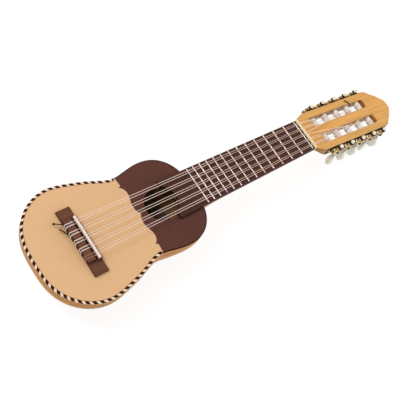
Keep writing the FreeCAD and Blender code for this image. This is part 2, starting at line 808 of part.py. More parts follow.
def make_plates():
    worm = "tuner_first + gear_pitch_radius + worm_pitch_radius"
    face = "head_half + plate_thickness"
    start, end = plate_ends()
    solids = [box("plate_strip", start, "head_half", "-upper_ear_depth - plate_depth",
                  f"{end} - ({start})", "plate_thickness", "plate_depth")]
    holes = []
    for number in range(5):
        station = f"{worm} + {number} * tuner_pitch"
        for name, depth in (("upper", "upper_ear_depth"), ("lower", "lower_ear_depth")):
            level = f"-{depth} - ear_thickness"
            solids.append(box(f"ear_{name}_{number + 1}", f"{station} - ear_radius", "head_half", level,
                              "2 * ear_radius", "worm_offset", "ear_thickness"))
            solids.append(cylinder(f"lobe_{name}_{number + 1}", "z", station, "head_half + worm_offset",
                                   level, "ear_radius", "ear_thickness"))
        holes.append(cylinder(f"worm_hole_{number + 1}", "z", station, "head_half + worm_offset",
                              "-head_thickness", "worm_shaft_radius + running_gap", "head_thickness"))
        holes.append(cylinder(f"shaft_hole_{number + 1}", "y", f"tuner_first + {number} * tuner_pitch",
                              "head_half - cut_over", "-axis_depth", "shaft_radius + running_gap", "worm_offset"))
    screws = []
    for number, station in enumerate(screw_stations(), 1):
        holes.append(cylinder(f"screw_hole_{number}", "y", station, "head_half - cut_over", "-axis_depth",
                              "screw_shank_radius", "worm_offset"))
        shank = cylinder(f"shank_{number}", "y", station, f"{face} - screw_length", "-axis_depth",
                         "screw_shank_radius", "screw_length")
        head = cylinder(f"screw_head_{number}", "y", station, face, "-axis_depth",
                        "screw_head_radius", "screw_head_height")
        screws.append(fuse(f"screw_{number}", shank, head))
    plate = cut("plate", fuse("plate_blank", *solids), *holes)
    upper = group("tuner_plate_upper", plate)
    lower = group("tuner_plate_lower", mirrored("plate_mirrored", plate))
    upper_screws = group("screw_row", *screws)
    both = group("plate_screws", upper_screws, mirrored("screw_row_mirrored", upper_screws))
    for item in (upper, lower, both):
        item.Placement = head_placement()
        keep(item)


def make_roller():
    """Roller along its own Z axis, which starts at the middle of the head."""
    barrel_start = "slot_inner + barrel_side_gap"
    barrel_length = "slot_width - 2 * barrel_side_gap"
    gear_face = "head_half + worm_offset - gear_thickness / 2"
    pivot = cylinder("roller_pivot", "z", 0, 0, "slot_inner - pivot_length", "pivot_radius", "slot_width")
    barrel = cylinder("roller_barrel", "z", 0, 0, barrel_start, "barrel_radius", barrel_length)
    shaft = cylinder("roller_shaft", "z", 0, 0, barrel_start, "shaft_radius",
                     f"{gear_face} - ({barrel_start})")
    boss = cylinder("roller_boss", "z", 0, 0, barrel_start, "boss_radius",
                    f"{gear_face} + gear_thickness - ({barrel_start})")
    eye = cylinder("roller_eye", "x", "-barrel_radius - cut_over", 0, "slot_inner + slot_width / 2",
                   "string_radius * 2", "2 * barrel_radius + 2 * cut_over")
    return cut("roller", fuse("roller_solid", pivot, barrel, shaft, boss), eye)


def attach(body, name, role):
    plane = next(item for item in body.Origin.OriginFeatures if item.Role == role)
    sketch = body.newObject("Sketcher::SketchObject", name)
    sketch.AttachmentSupport = [(plane, "")]
    sketch.MapMode = "FlatFace"
    return sketch


def drive(sketch, name, text, *constraint):
    """Adds a named sketch dimension and ties it to the sheet."""
    number = sketch.addConstraint(Sketcher.Constraint(*constraint))
    sketch.renameConstraint(number, name)
    sketch.setExpression(f"Constraints.{name}", bound(text))


def make_gear():
    """Worm gear about its own Z axis, with a tooth gap on +X."""
    body = add("PartDesign::Body", "gear")
    disc = attach(body, "gear_outline", "XY_Plane")
    for number, (name, text) in enumerate((("rim", "gear_outer_radius"), ("bore", "boss_radius"))):
        disc.addGeometry(Part.Circle(Vector(), Vector(0, 0, 1), size(text)))
        disc.addConstraint(Sketcher.Constraint("Coincident", number, 3, -1, 1))
        drive(disc, name, text, "Radius", number, size(text))
    pad = body.newObject("PartDesign::Pad", "gear_disc")
    pad.Profile = disc
    pad.Midplane = True
    pad.setExpression("Length", bound("gear_thickness"))
    gap = attach(body, "gear_gap_outline", "XY_Plane")
    root, rim = size("gear_root_radius"), size("gear_outer_radius") + size("cut_over")
    corners = [Vector(root, 0.5, 0), Vector(rim, 1, 0), Vector(rim, -1, 0), Vector(root, -0.5, 0)]
    for number in range(4):
        gap.addGeometry(Part.LineSegment(corners[number], corners[(number + 1) % 4]))
    for number in range(4):
        gap.addConstraint(Sketcher.Constraint("Coincident", number, 2, (number + 1) % 4, 1))
    gap.addConstraint(Sketcher.Constraint("Symmetric", 0, 1, 2, 2, -1))
    gap.addConstraint(Sketcher.Constraint("Symmetric", 0, 2, 2, 1, -1))
    middle = "2 * pi * gear_pitch_radius / gear_teeth - gear_tooth"
    drive(gap, "root", "gear_root_radius", "DistanceX", -1, 1, 0, 1, root)
    drive(gap, "rim", "gear_outer_radius + cut_over", "DistanceX", -1, 1, 0, 2, rim)
    drive(gap, "root_gap", f"{middle} - 2 * (gear_pitch_radius - gear_root_radius) * tan(flank_angle)",
          "DistanceY", 3, 1, 3, 2, 1.0)
    drive(gap, "rim_gap", f"{middle} + 2 * (gear_outer_radius + cut_over - gear_pitch_radius) * tan(flank_angle)",
          "DistanceY", 1, 2, 1, 1, 2.0)
    pocket = body.newObject("PartDesign::Pocket", "gear_gap")
    pocket.Profile = gap
    pocket.Midplane = True
    pocket.setExpression("Length", bound("2 * gear_thickness"))
    doc.recompute()
    ring = body.newObject("PartDesign::PolarPattern", "gear_gaps")
    ring.Originals = [pocket]
    ring.Axis = (gap, ["N_Axis"])
    ring.Angle = 360
    ring.setExpression("Occurrences", bound("gear_teeth"))
    body.Tip = ring
    return body


def worm_shape():
    """Worm and its shaft along Z, with Z = 0 level with the head's face."""
    lead = 2 * math.pi * size("gear_pitch_radius") / size("gear_teeth")
    slope = math.tan(math.radians(size("flank_angle")))
    root, crest = size("worm_root_radius"), size("worm_outer_radius")
    middle = size("worm_pitch_radius")
    sunk = root - size("thread_sink")
    sunk_half = size("worm_tooth") / 2 + (middle - sunk) * slope
    crest_half = size("worm_tooth") / 2 - (crest - middle) * slope
    top = -size("upper_ear_depth") - size("ear_thickness") - size("end_gap")
    bottom = -size("lower_ear_depth") + size("end_gap")
    turns = (top - bottom - 2 * sunk_half - 2 * size("thread_stop")) / lead
    helix = Part.makeHelix(lead, turns * lead, crest)
    profile = [Vector(sunk, 0, -sunk_half), Vector(crest, 0, -crest_half),
               Vector(crest, 0, crest_half), Vector(sunk, 0, sunk_half)]
    sweep = Part.BRepOffsetAPI.MakePipeShell(Part.Wire(helix.Edges))
    sweep.setFrenetMode(True)
    sweep.add(Part.makePolygon(profile + profile[:1]))
    sweep.build()
    sweep.makeSolid()
    thread = sweep.shape()
    thread.rotate(Vector(), Vector(0, 0, 1), 180 - 180 * turns)
    thread.translate(Vector(0, 0, -size("axis_depth") - turns * lead / 2))
    core = Part.makeCylinder(root, top - bottom, Vector(0, 0, bottom))
    shaft_top = -size("upper_ear_depth") / 2
    shaft_end = -size("button_top_depth") + size("collar_length") - size("shaft_seat")
    shaft = Part.makeCylinder(size("worm_shaft_radius"), shaft_top - shaft_end, Vector(0, 0, shaft_end))
    return core.fuse([thread, shaft])


def make_button():
    """Flattened oval button hanging from Z = 0, with its collar above."""
    upright = Rotation(Vector(0, 0, -1), Vector(1, 0, 0), Vector(0, 1, 0))
    oval = add("Part::Ellipse", "button_oval", MajorRadius="button_length / 2",
               MinorRadius="button_width / 2")
    place(oval, 0, 0, "-button_length / 2", upright)
    slab_piece = add("Part::Extrusion", "button_slab", LengthFwd="button_thickness")
    slab_piece.Base = oval
    slab_piece.Dir = Vector(0, 1, 0)
    slab_piece.DirMode = "Custom"
    slab_piece.Symmetric = True
    slab_piece.Solid = True
    soft = rounded("button_body", slab_piece, "button_round", lambda edge: edge.Length > size("button_length"))
    collar = cylinder("button_collar", "z", 0, 0, "-button_length / 4", "collar_radius",
                      "collar_length + button_length / 4")
    bore = cylinder("button_bore", "z", 0, 0, "collar_length - shaft_seat", "worm_shaft_radius",
                    "shaft_seat + cut_over")
    return cut("button", fuse("button_solid", soft, collar), bore)


def make_tuners():
    roller = make_roller()
    gear = make_gear()
    worm = feature("worm", worm_shape())
    button = make_button()
    across = size("head_half") + size("worm_offset")
    to_worm = size("gear_pitch_radius") + size("worm_pitch_radius")
    for number in range(10):
        side = 1 if number < 5 else -1
        station = tuner_station(number % 5)
        outward = Rotation(Vector(1, 0, 0), -90 * side)
        copy = keep(group(f"roller_{number + 1}", roller))
        place_on_head(copy, station, 0, -size("axis_depth"), outward)
        copy = keep(group(f"gear_{number + 1}", gear))
        place_on_head(copy, station, side * across, -size("axis_depth"), along("y"))
        copy = keep(group(f"worm_{number + 1}", worm))
        place_on_head(copy, station + to_worm, side * across, 0)
        copy = keep(group(f"button_{number + 1}", button))
        turn = Rotation(Vector(0, 0, 1), BUTTON_ANGLES[number])
        place_on_head(copy, station + to_worm, side * across, -size("button_top_depth"), turn)


# ---------------------------------------------------------------- checks and output

def check_document():
    for item in doc.Objects:
        if "Invalid" in item.State or "Error" in item.State:
            raise RuntimeError(f"{item.Label} did not compute: {item.State}")
    for item in pieces:
        shape = item.Shape
        if shape.isNull() or not shape.isValid() or not shape.Solids:
            raise RuntimeError(f"{item.Label} has no valid solid")


def write_pieces():
    os.makedirs("parts", exist_ok=True)
    for item in pieces:
        item.Shape.exportStep(f"parts/{item.Label}.step")


fill_sheet()
hollow = make_body()
make_bars(hollow)
make_neck()
make_fingerboard()
make_nut()
make_bridge()
make_strings()
make_headstock()
make_plates()
make_tuners()
doc.recompute()
check_document()
write_pieces()
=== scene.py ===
import json
import math

import bmesh
import bpy
from mathutils import Matrix, Vector


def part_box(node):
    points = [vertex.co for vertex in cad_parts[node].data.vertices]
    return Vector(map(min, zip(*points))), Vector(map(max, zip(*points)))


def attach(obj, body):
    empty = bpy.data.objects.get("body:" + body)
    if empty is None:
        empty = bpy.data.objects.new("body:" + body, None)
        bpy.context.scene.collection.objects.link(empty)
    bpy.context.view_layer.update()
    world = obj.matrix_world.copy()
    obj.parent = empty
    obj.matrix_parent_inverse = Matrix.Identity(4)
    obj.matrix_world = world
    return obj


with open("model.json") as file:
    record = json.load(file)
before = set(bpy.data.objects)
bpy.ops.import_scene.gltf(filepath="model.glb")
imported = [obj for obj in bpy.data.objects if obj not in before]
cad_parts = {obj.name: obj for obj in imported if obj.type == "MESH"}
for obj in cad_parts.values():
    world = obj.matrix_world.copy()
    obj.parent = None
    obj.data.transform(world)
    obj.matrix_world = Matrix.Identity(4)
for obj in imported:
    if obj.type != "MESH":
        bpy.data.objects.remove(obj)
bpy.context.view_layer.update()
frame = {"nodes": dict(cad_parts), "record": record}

MM = 0.001
WHITE = (1.0, 1.0, 1.0)

# Sizes of the frame that the drawn pieces follow, in millimetres.
HEAD_ORIGIN = Vector((332.0, 0.0, 69.5))
HEAD_TILT = math.radians(10)
TUNER_FIRST = 42.5
TUNER_PITCH = 26.5
TUNERS_PER_SIDE = 5
AXIS_DEPTH = 7.0
BARREL_RADIUS = 4.75
BARREL_ENDS = (7.65, 22.35)
WORM_STEP = 8.7
WORM_ACROSS = 38.4
WORM_TOP = -0.48
GEAR_FACE = 39.9
STRING_RADIUS = 0.35
STRING_GAP = 0.03
ROLLER_SPOTS = [19.0, 17.5, 13.0, 11.5, 17.0]
TIE_ROWS = [26.25, 22.55, 14.05, 10.35, 1.85]
TIE_BACK = -58.4
TIE_FRONT = -47.9
TIE_TOP = 75.0
TIE_HOLE = 71.0
ROPE_WIDTH = 3.4
BOARD_TOP = 71.0
BOARD_NUT_HALF = 25.5
ZERO_FRET = 330.0
NUT_FRONT = 333.5

# Choices of the drawn pieces, in millimetres where they are lengths.
ROPE_PIECES = 45
ROPE_DARK_SHARE = 0.58
ROPE_SLANT = 2.6
TIE_LEAN = 0.37
DARK_TIES = 2
WINDING_TURNS = 2.75
WINDING_STEPS = 16
GEAR_SCREW = [(0, 2.7), (0.4, 2.7), (0.8, 2.3), (1.05, 1.5), (1.12, 0.5)]
WORM_KNOB = [(0, 1.5), (0.25, 2.4), (1.0, 2.85), (2.4, 3.0), (3.8, 2.6), (4.7, 1.7), (5.0, 0.5)]

# Dark string ends: a thick and a thin one behind the tie block, and one over the edge of a slot.
LONG_TAIL = [(-60.2, 28.6, 73.0), (-62.0, 30.2, 72.8), (-65.5, 32.6, 72.2), (-69.6, 35.2, 71.6)]
SHORT_TAIL = [(-60.3, 13.0, 71.6), (-61.3, 16.8, 71.4), (-63.6, 21.5, 70.8), (-65.8, 25.2, 70.4)]
SLOT_TAIL = [(127.6, 19.4, -1.6), (126.8, 21.4, 0.9), (125.0, 24.4, 1.8), (122.6, 27.8, 1.4),
             (121.0, 30.2, 0.9)]

# Where the masks of the materials' painted shade change over.
UPRIGHT_BELOW = 0.6         # a face whose normal's Z part is smaller is steep and gets painted shade
HOLLOW_CENTRE = (0.0, 0.0, 50 * MM)
BLOCK_FACING = -0.5         # the neck block's face looks back towards the tail
BLOCK_SHARE = 0.3           # how much less painted shade the neck block gets than the rest of the hollow, a painted pool of light on it
BOARD_START = (0.14, 0.21)  # the strings' painted shade over the fingerboard comes in between these stations, in metres
BOARD_END = (0.322, 0.332)  # and goes out between these


# ------------------------------------------------------------ node helpers

def colour_output(node):
    """Where a node gives its colour. A mix node has outputs for numbers and vectors before it."""
    return node.outputs[2 if node.type == "MIX" else 0]


class Shader:
    """A small builder for one procedural material."""

    def __init__(self, name):
        self.material = bpy.data.materials.new(name)
        self.material.use_nodes = True
        self.tree = self.material.node_tree
        self.tree.nodes.clear()
        self.output = self.node("ShaderNodeOutputMaterial")
        self.surface = self.node("ShaderNodeBsdfPrincipled")
        self.link(self.surface, 0, self.output, "Surface")

    def node(self, kind, **settings):
        made = self.tree.nodes.new(kind)
        for key, value in settings.items():
            setattr(made, key, value)
        return made

    def link(self, source, out, target, socket):
        self.tree.links.new(source.outputs[out], target.inputs[socket])

    def set(self, **values):
        for key, value in values.items():
            self.surface.inputs[key.replace("_", " ")].default_value = value
        return self

    def compute(self, operation, first, second, out=0):
        """A sum on two items, each of which is a number, a node or nothing."""
        made = self.node("ShaderNodeMath", operation=operation)
        for socket, item in enumerate((first, second)):
            if isinstance(item, float):
                made.inputs[socket].default_value = item
            elif item:
                self.link(item, out, made, socket)
        return made

    def parts(self, output):
        """The X, Y and Z parts of the object's own coordinates or of its normal."""
        source = self.node("ShaderNodeTexCoord")
        parts = self.node("ShaderNodeSeparateXYZ")
        self.link(source, output, parts, 0)
        return parts

    def noise(self, scale, detail, roughness, distortion=0.0, tilt=0.0):
        """Noise over the object's own coordinates, turned about Y and then stretched."""
        source = self.node("ShaderNodeTexCoord")
        turned = self.node("ShaderNodeMapping")
        turned.inputs["Rotation"].default_value = (0, -tilt, 0)
        scaled = self.node("ShaderNodeMapping")
        scaled.inputs["Scale"].default_value = scale
        made = self.node("ShaderNodeTexNoise")
        made.inputs["Scale"].default_value = 1.0
        made.inputs["Detail"].default_value = detail
        made.inputs["Roughness"].default_value = roughness
        made.inputs["Distortion"].default_value = distortion
        self.link(source, "Object", turned, "Vector")
        self.link(turned, "Vector", scaled, "Vector")
        self.link(scaled, 0, made, "Vector")
        return made

    def ramp(self, source, stops, out=0):
        made = self.node("ShaderNodeValToRGB")
        band = made.color_ramp
        while len(band.elements) < len(stops):
            band.elements.new(0.5)
        for element, (place, colour) in zip(band.elements, stops):
            element.position = place
            element.color = (*colour, 1)
        self.link(source, out, made, "Fac")
        return made

    def mix(self, first, second, factor, mode="MIX"):
        made = self.node("ShaderNodeMix", data_type="RGBA", blend_type=mode)
        if isinstance(factor, float):
            made.inputs[0].default_value = factor
        else:
            self.link(factor, 0, made, 0)
        for number, item in ((6, first), (7, second)):
            if isinstance(item, tuple):
                made.inputs[number].default_value = (*item, 1)
            else:
                self.tree.links.new(colour_output(item), made.inputs[number])
        return made

    def multiply(self, first, second):
        return self.mix(first, second, 1.0, "MULTIPLY")

    def colour(self, source):
        self.tree.links.new(colour_output(source), self.surface.inputs["Base Color"])

    def roughness(self, source, low, high):
        made = self.node("ShaderNodeMapRange")
        made.inputs["To Min"].default_value = low
        made.inputs["To Max"].default_value = high
        self.link(source, 0, made, "Value")
        self.link(made, 0, self.surface, "Roughness")

    def bump(self, source, strength, distance, edge=0.0):
        """Bump from a grey source, over edges rounded by the bevel. Lengths are in millimetres."""
        made = self.node("ShaderNodeBump")
        made.inputs["Strength"].default_value = strength
        made.inputs["Distance"].default_value = distance * MM
        self.link(source, 0, made, "Height")
        if edge:
            bevel = self.node("ShaderNodeBevel", samples=4)
            bevel.inputs["Radius"].default_value = edge * MM
            self.link(bevel, 0, made, "Normal")
        self.link(made, 0, self.surface, "Normal")


def srgb(red, green, blue):
    """Linear colour from a colour written as 0 to 255 screen values."""
    def linear(value):
        value /= 255
        return value / 12.92 if value <= 0.04045 else ((value + 0.055) / 1.055) ** 2.4
    return (linear(red), linear(green), linear(blue))


def shade(colour, factor):
    return tuple(channel * factor for channel in colour)


def grey(value):
    return (value,) * 3


# ------------------------------------------------------------ materials

def wood(name, colour, contrast=0.12, width=4.0, pores=0.1, rough=(0.35, 0.5), tilt=0.0, coat=0.0,
         edge=0.3, shine=0.3, length=45, shadowed=None, shadow=None):
    """Wood whose grain runs along X: broad streaks, fine lines and short dark pores.

    The streaks are width millimetres wide and length times as long. The colour is multiplied
    by shadow where the mask shadowed is one.
    """
    shader = Shader(name)
    across = 1 / (width * MM)
    broad = shader.noise((across / length, across, across), 3, 0.5, 0.6, tilt)
    fine = shader.noise((9, 1000, 1000), 3, 0.6, tilt=tilt)
    pore = shader.noise((60, 2400, 2400), 2, 0.6, tilt=tilt)
    cloud = shader.noise((7, 22, 22), 2, 0.5, tilt=tilt)
    red, green, blue = colour
    warm = (red * (1 + contrast * 0.5), green * (1 - contrast * 0.2), blue * (1 - contrast))
    streaks = shader.ramp(broad, [(0.3, shade(colour, 1 - contrast)), (0.5, colour),
                                  (0.7, shade(colour, 1 + contrast * 0.7))])
    tint = shader.ramp(cloud, [(0.38, shade(colour, 1 - contrast * 0.3)), (0.62, warm)])
    lines = shader.ramp(fine, [(0.35, grey(1 - contrast * 0.4)), (0.65, grey(1 + contrast * 0.3))])
    dots = shader.ramp(pore, [(0.34, grey(1 - pores * 2.2)), (0.46, WHITE)])
    body = shader.multiply(shader.multiply(shader.mix(streaks, tint, 0.5), lines), dots)
    # Painted shade: the colour is darkened where the mask is one.
    if shadowed:
        body = shader.mix(body, shader.multiply(body, shadow), shadowed(shader))
    shader.colour(body)
    shader.roughness(fine, *rough)
    shader.bump(fine, 0.2, 0.04, edge)
    shader.set(Coat_Weight=coat, Coat_Roughness=0.15, Specular_IOR_Level=shine)
    return shader.material


def hollow_painted_shade(shader):
    """Mask of painted shade: one on the walls of the bowl's hollow, which look at its middle, and less
    on the neck block, a painted pool of light on it.
    """
    place = shader.node("ShaderNodeTexCoord")
    away = shader.node("ShaderNodeVectorMath", operation="SUBTRACT")
    away.inputs[1].default_value = HOLLOW_CENTRE
    shader.link(place, "Object", away, 0)
    facing = shader.node("ShaderNodeVectorMath", operation="DOT_PRODUCT")
    shader.link(place, "Normal", facing, 0)
    shader.link(away, 0, facing, 1)
    inside = shader.compute("LESS_THAN", facing, 0.0, "Value")
    block = shader.compute("LESS_THAN", shader.parts("Normal"), BLOCK_FACING, "X")
    weight = shader.compute("MULTIPLY_ADD", block, -BLOCK_SHARE)
    weight.inputs[2].default_value = 1.0
    return shader.compute("MULTIPLY", inside, weight)


def steep_face_shade(shader):
    """Mask of painted shade: one on the steep faces, the sides of a piece and the walls of its slots.
    """
    size = shader.compute("ABSOLUTE", shader.parts("Normal"), None, "Z")
    return shader.compute("LESS_THAN", size, UPRIGHT_BELOW)


def metal(name, colour, rough, brushed=0.0, edge=0.12):
    shader = Shader(name)
    grain = shader.noise((60, 900, 900), 4, 0.6)
    stain = shader.noise(grey(150), 3, 0.55)
    shader.colour(shader.ramp(stain, [(0.36, shade(colour, 0.5)), (0.56, colour)]))
    shader.roughness(grain, rough, rough + brushed + 0.08)
    shader.bump(grain, 0.15, 0.02, edge)
    return shader.set(Metallic=1.0).material


def pearl(name, colour, rough, swirl, glow=0.0):
    """Cream plastic or bone with a cloudy figure."""
    shader = Shader(name)
    cloud = shader.noise(grey(160), 3, 0.5, 1.2)
    light = tuple(min(1, channel * (1 + swirl / 2)) for channel in colour)
    shader.colour(shader.ramp(cloud, [(0.32, shade(colour, 1 - swirl)), (0.5, colour), (0.68, light)]))
    shader.roughness(cloud, rough, rough + 0.1)
    shader.bump(cloud, 0.05, 0.05, 0.25)
    shader.set(Coat_Weight=0.3, Coat_Roughness=0.08, Specular_IOR_Level=0.5, Subsurface_Weight=glow,
               Subsurface_Radius=WHITE, Subsurface_Scale=6 * MM)
    return shader.material


def nylon(name, colour, shine, rough, board_tint=None):
    """Nylon: over the fingerboard its colour is darkened, a painted shade that stands in for the dark
    wood seen through the slightly clear string.
    """
    shader = Shader(name)
    cloud = shader.noise(grey(700), 2, 0.5)
    body = shader.ramp(cloud, [(0.35, shade(colour, 0.94)), (0.65, colour)])
    # Painted shade: the string is darker over the fingerboard, between the stations of BOARD_START and
    # BOARD_END.
    if board_tint:
        tint = shader.ramp(shader.parts("Object"), [
            (BOARD_START[0], WHITE), (BOARD_START[1], board_tint),
            (BOARD_END[0], board_tint), (BOARD_END[1], WHITE)], "X")
        body = shader.multiply(body, tint)
    shader.colour(body)
    shader.roughness(cloud, rough, rough + 0.1)
    return shader.set(Specular_IOR_Level=shine).material


def ivory_and_steel(name, ivory_colour, steel_colour):
    """Ivory barrel between the walls of the slot, steel shaft and pivot beyond them."""
    shader = Shader(name)
    across = shader.compute("ABSOLUTE", shader.parts("Object"), None, "Y")
    inside = shader.compute("COMPARE", across, sum(BARREL_ENDS) / 2 * MM)
    inside.inputs[2].default_value = ((BARREL_ENDS[1] - BARREL_ENDS[0]) / 2 + 0.02) * MM
    cloud = shader.noise(grey(220), 3, 0.5, 0.8)
    ivory = shader.ramp(cloud, [(0.3, shade(ivory_colour, 0.9)), (0.65, ivory_colour)])
    shader.colour(shader.mix(steel_colour, ivory, inside))
    shader.link(shader.compute("SUBTRACT", 1.0, inside), 0, shader.surface, "Metallic")
    shader.roughness(cloud, 0.22, 0.34)
    shader.bump(cloud, 0.05, 0.05, 0.2)
    return shader.material


def make_materials():
    bowl = srgb(200, 141, 60)
    satin, dull = (0.32, 0.44), (0.45, 0.58)
    made = {}

    def add(name, kind, *sizes, **choices):
        made[name] = kind(name, *sizes, **choices)

    # Painted shade on the walls of the bowl's hollow, lighter on the neck block as painted light
    # through the sound hole.
    add("bowl_wood", wood, bowl, 0.3, 6.0, 0.06, satin, shine=0.15,
        shadowed=hollow_painted_shade, shadow=(0.13, 0.072, 0.095))
    add("neck_wood", wood, bowl, 0.22, 5.0, 0.08, satin, shine=0.15)
    # Painted shade on the head's steep faces: its sides and the walls of its slots.
    add("head_wood", wood, srgb(225, 172, 94), 0.34, 4.5, 0.0, (0.38, 0.48), HEAD_TILT, coat=0.1,
        edge=0.5, length=25, shadowed=steep_face_shade, shadow=(0.56, 0.46, 0.36))
    add("spruce", wood, srgb(232, 186, 137), 0.045, 1.3, 0.01, (0.48, 0.58), coat=0.04)
    add("brace_wood", wood, srgb(222, 184, 138), 0.08, 2.0, 0.02, (0.6, 0.75))
    add("veneer", wood, srgb(96, 58, 49), 0.18, 3.0, 0.12, (0.45, 0.55), edge=0.15, shine=0.12)
    # Painted shade on the fingerboard's steep sides.
    add("rosewood", wood, srgb(83, 51, 44), 0.36, 2.4, 0.2, dull, shine=0.12,
        shadowed=steep_face_shade, shadow=(0.45, 0.4, 0.36))
    # Painted shade on the bridge's steep faces, among them the front of the ridge before the saddle.
    add("bridge_wood", wood, srgb(115, 75, 56), 0.45, 2.4, 0.24, dull, edge=0.4, shine=0.12,
        shadowed=steep_face_shade, shadow=(0.4, 0.32, 0.24))
    # Near-black wood; the nut's sheet of painted shade is made of it.
    add("ebony", wood, srgb(22, 11, 7), 0.2, 2.0, 0.1, (0.5, 0.6), edge=0.0, shine=0.03)
    add("edging", wood, srgb(52, 24, 18), 0.2, 2.0, 0.1, (0.5, 0.6), edge=0.0, shine=0.03)
    add("rope", wood, srgb(250, 224, 198), 0.08, 2.0, 0.05, (0.45, 0.55), edge=0.1)
    add("rope_dark", wood, srgb(64, 28, 14), 0.3, 2.0, 0.1, (0.5, 0.6), edge=0.0, shine=0.04)
    add("fret_metal", metal, srgb(236, 219, 208), 0.3, edge=0.0)
    add("screw_metal", metal, srgb(214, 196, 160), 0.3)
    add("worm_metal", metal, srgb(212, 194, 160), 0.26)
    add("gear_metal", metal, srgb(198, 168, 116), 0.3)
    # Painted shade: the plates are dark brown to stand in for the shadow between the head and the
    # plates.
    add("plate_metal", metal, srgb(66, 50, 32), 0.36, brushed=0.1)
    add("saddle_bone", pearl, srgb(250, 228, 214), 0.3, 0.03)
    add("bone", pearl, srgb(250, 224, 170), 0.3, 0.04)
    add("pearl", pearl, srgb(255, 249, 230), 0.15, 0.05, glow=0.8)
    add("knob", pearl, srgb(250, 238, 216), 0.2, 0.12, glow=0.4)
    # Painted shade: the strings are darkened over the fingerboard.
    add("nylon", nylon, srgb(255, 232, 218), 0.7, 0.18, board_tint=(0.76, 0.62, 0.56))
    add("tie_nylon", nylon, srgb(240, 224, 214), 0.6, 0.2)
    add("dark_tie", nylon, srgb(176, 122, 104), 0.3, 0.3)
    add("wound", nylon, srgb(70, 38, 16), 0.05, 0.5)
    add("roller_plastic", ivory_and_steel, srgb(248, 243, 234), srgb(196, 190, 180))
    return made


def dress_nodes(materials):
    """Gives every CAD node the procedural material of its slot in the record."""
    slots = {entry["node"]: entry["material_slot"] for entry in frame["record"]["subparts"]}
    for name, node in frame["nodes"].items():
        node.data.materials.clear()
        node.data.materials.append(materials["saddle_bone" if name == "saddle" else slots[name]])


# ------------------------------------------------------------ mesh helpers

def place_piece(name, data, body):
    piece = bpy.data.objects.new(name, data)
    bpy.context.scene.collection.objects.link(piece)
    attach(piece, body)
    return piece


def add_mesh(name, points, faces, material, body, smooth=False):
    mesh = bpy.data.meshes.new(name)
    mesh.from_pydata([tuple(point) for point in points], [], faces)
    mesh.validate()
    mesh.update()
    mesh.materials.append(material)
    if smooth:
        mesh.polygons.foreach_set("use_smooth", [True] * len(mesh.polygons))
    return place_piece(name, mesh, body)


def add_wire(name, points, radius, material, body, order=4):
    """A round wire along a smooth line that ends at its first and last point."""
    curve = bpy.data.curves.new(name, "CURVE")
    curve.dimensions = "3D"
    spline = curve.splines.new("NURBS")
    spline.points.add(len(points) - 1)
    for control, point in zip(spline.points, points):
        control.co = (*point, 1)
    spline.order_u = order
    spline.use_endpoint_u = True
    curve.resolution_u = 6
    curve.bevel_depth = radius
    curve.bevel_resolution = 3
    curve.use_fill_caps = True
    curve.materials.append(material)
    return place_piece(name, curve, body)


def swept_faces(rows, count, base=0, capped=True):
    """Faces between rows of count points each, which start at the point numbered base."""
    faces = []
    for row in range(rows - 1):
        for k in range(count):
            first = base + row * count + k
            second = base + row * count + (k + 1) % count
            faces.append((first, second, second + count, first + count))
    if capped:
        faces.append(tuple(range(base + count - 1, base - 1, -1)))
        faces.append(tuple(range(base + (rows - 1) * count, base + rows * count)))
    return faces


def join_close_points(piece):
    shape = bmesh.new()
    shape.from_mesh(piece.data)
    bmesh.ops.remove_doubles(shape, verts=shape.verts, dist=1e-6)
    bmesh.ops.recalc_face_normals(shape, faces=shape.faces)
    shape.to_mesh(piece.data)
    shape.free()


def add_ball(name, centre, radius, material, body):
    rings, sides = 8, 14
    points = []
    for ring in range(rings + 1):
        turn = math.pi * ring / rings
        for k in range(sides):
            angle = 2 * math.pi * k / sides
            points.append(centre + Vector((math.sin(turn) * math.cos(angle),
                                           math.sin(turn) * math.sin(angle),
                                           math.cos(turn))) * radius)
    faces = swept_faces(rings + 1, sides, capped=False)
    join_close_points(add_mesh(name, points, faces, material, body, True))


def add_turned(name, profile, origin, axis, material, body, smooth=False):
    """A turned piece: the profile gives distance along the axis and radius, in millimetres."""
    sides = 20
    turn = Vector((0, 0, 1)).rotation_difference(axis).to_matrix()
    points = []
    for along, radius in profile:
        for k in range(sides):
            angle = 2 * math.pi * k / sides
            local = Vector((radius * math.cos(angle), radius * math.sin(angle), along)) * MM
            points.append(origin + turn @ local)
    add_mesh(name, points, swept_faces(len(profile), sides), material, body, smooth)


def head_point(along, across, height):
    """A point given in the head's own frame in millimetres, as a place in metres."""
    cosine, sine = math.cos(HEAD_TILT), math.sin(HEAD_TILT)
    x = HEAD_ORIGIN.x + along * cosine + height * sine
    z = HEAD_ORIGIN.z - along * sine + height * cosine
    return Vector((x, across, z)) * MM


def wall_points(node, outward):
    """Top corners of a binding's outer or inner wall, in order round the body."""
    centre = Vector((-0.03, 0, 0))
    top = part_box(node)[1].z
    seen = {}
    mesh = frame["nodes"][node].data
    for polygon in mesh.polygons:
        if abs(polygon.normal.z) > 0.5:
            continue
        for index in polygon.vertices:
            place = mesh.vertices[index].co
            away = (place - centre).normalized()
            facing = polygon.normal.x * away.x + polygon.normal.y * away.y
            if abs(place.z - top) < 1e-5 and facing * outward > 0.3:
                angle = math.atan2(place.y, place.x - centre.x) % (2 * math.pi)
                seen[round(angle, 5)] = Vector((place.x, place.y, top))
    return [seen[angle] for angle in sorted(seen)]


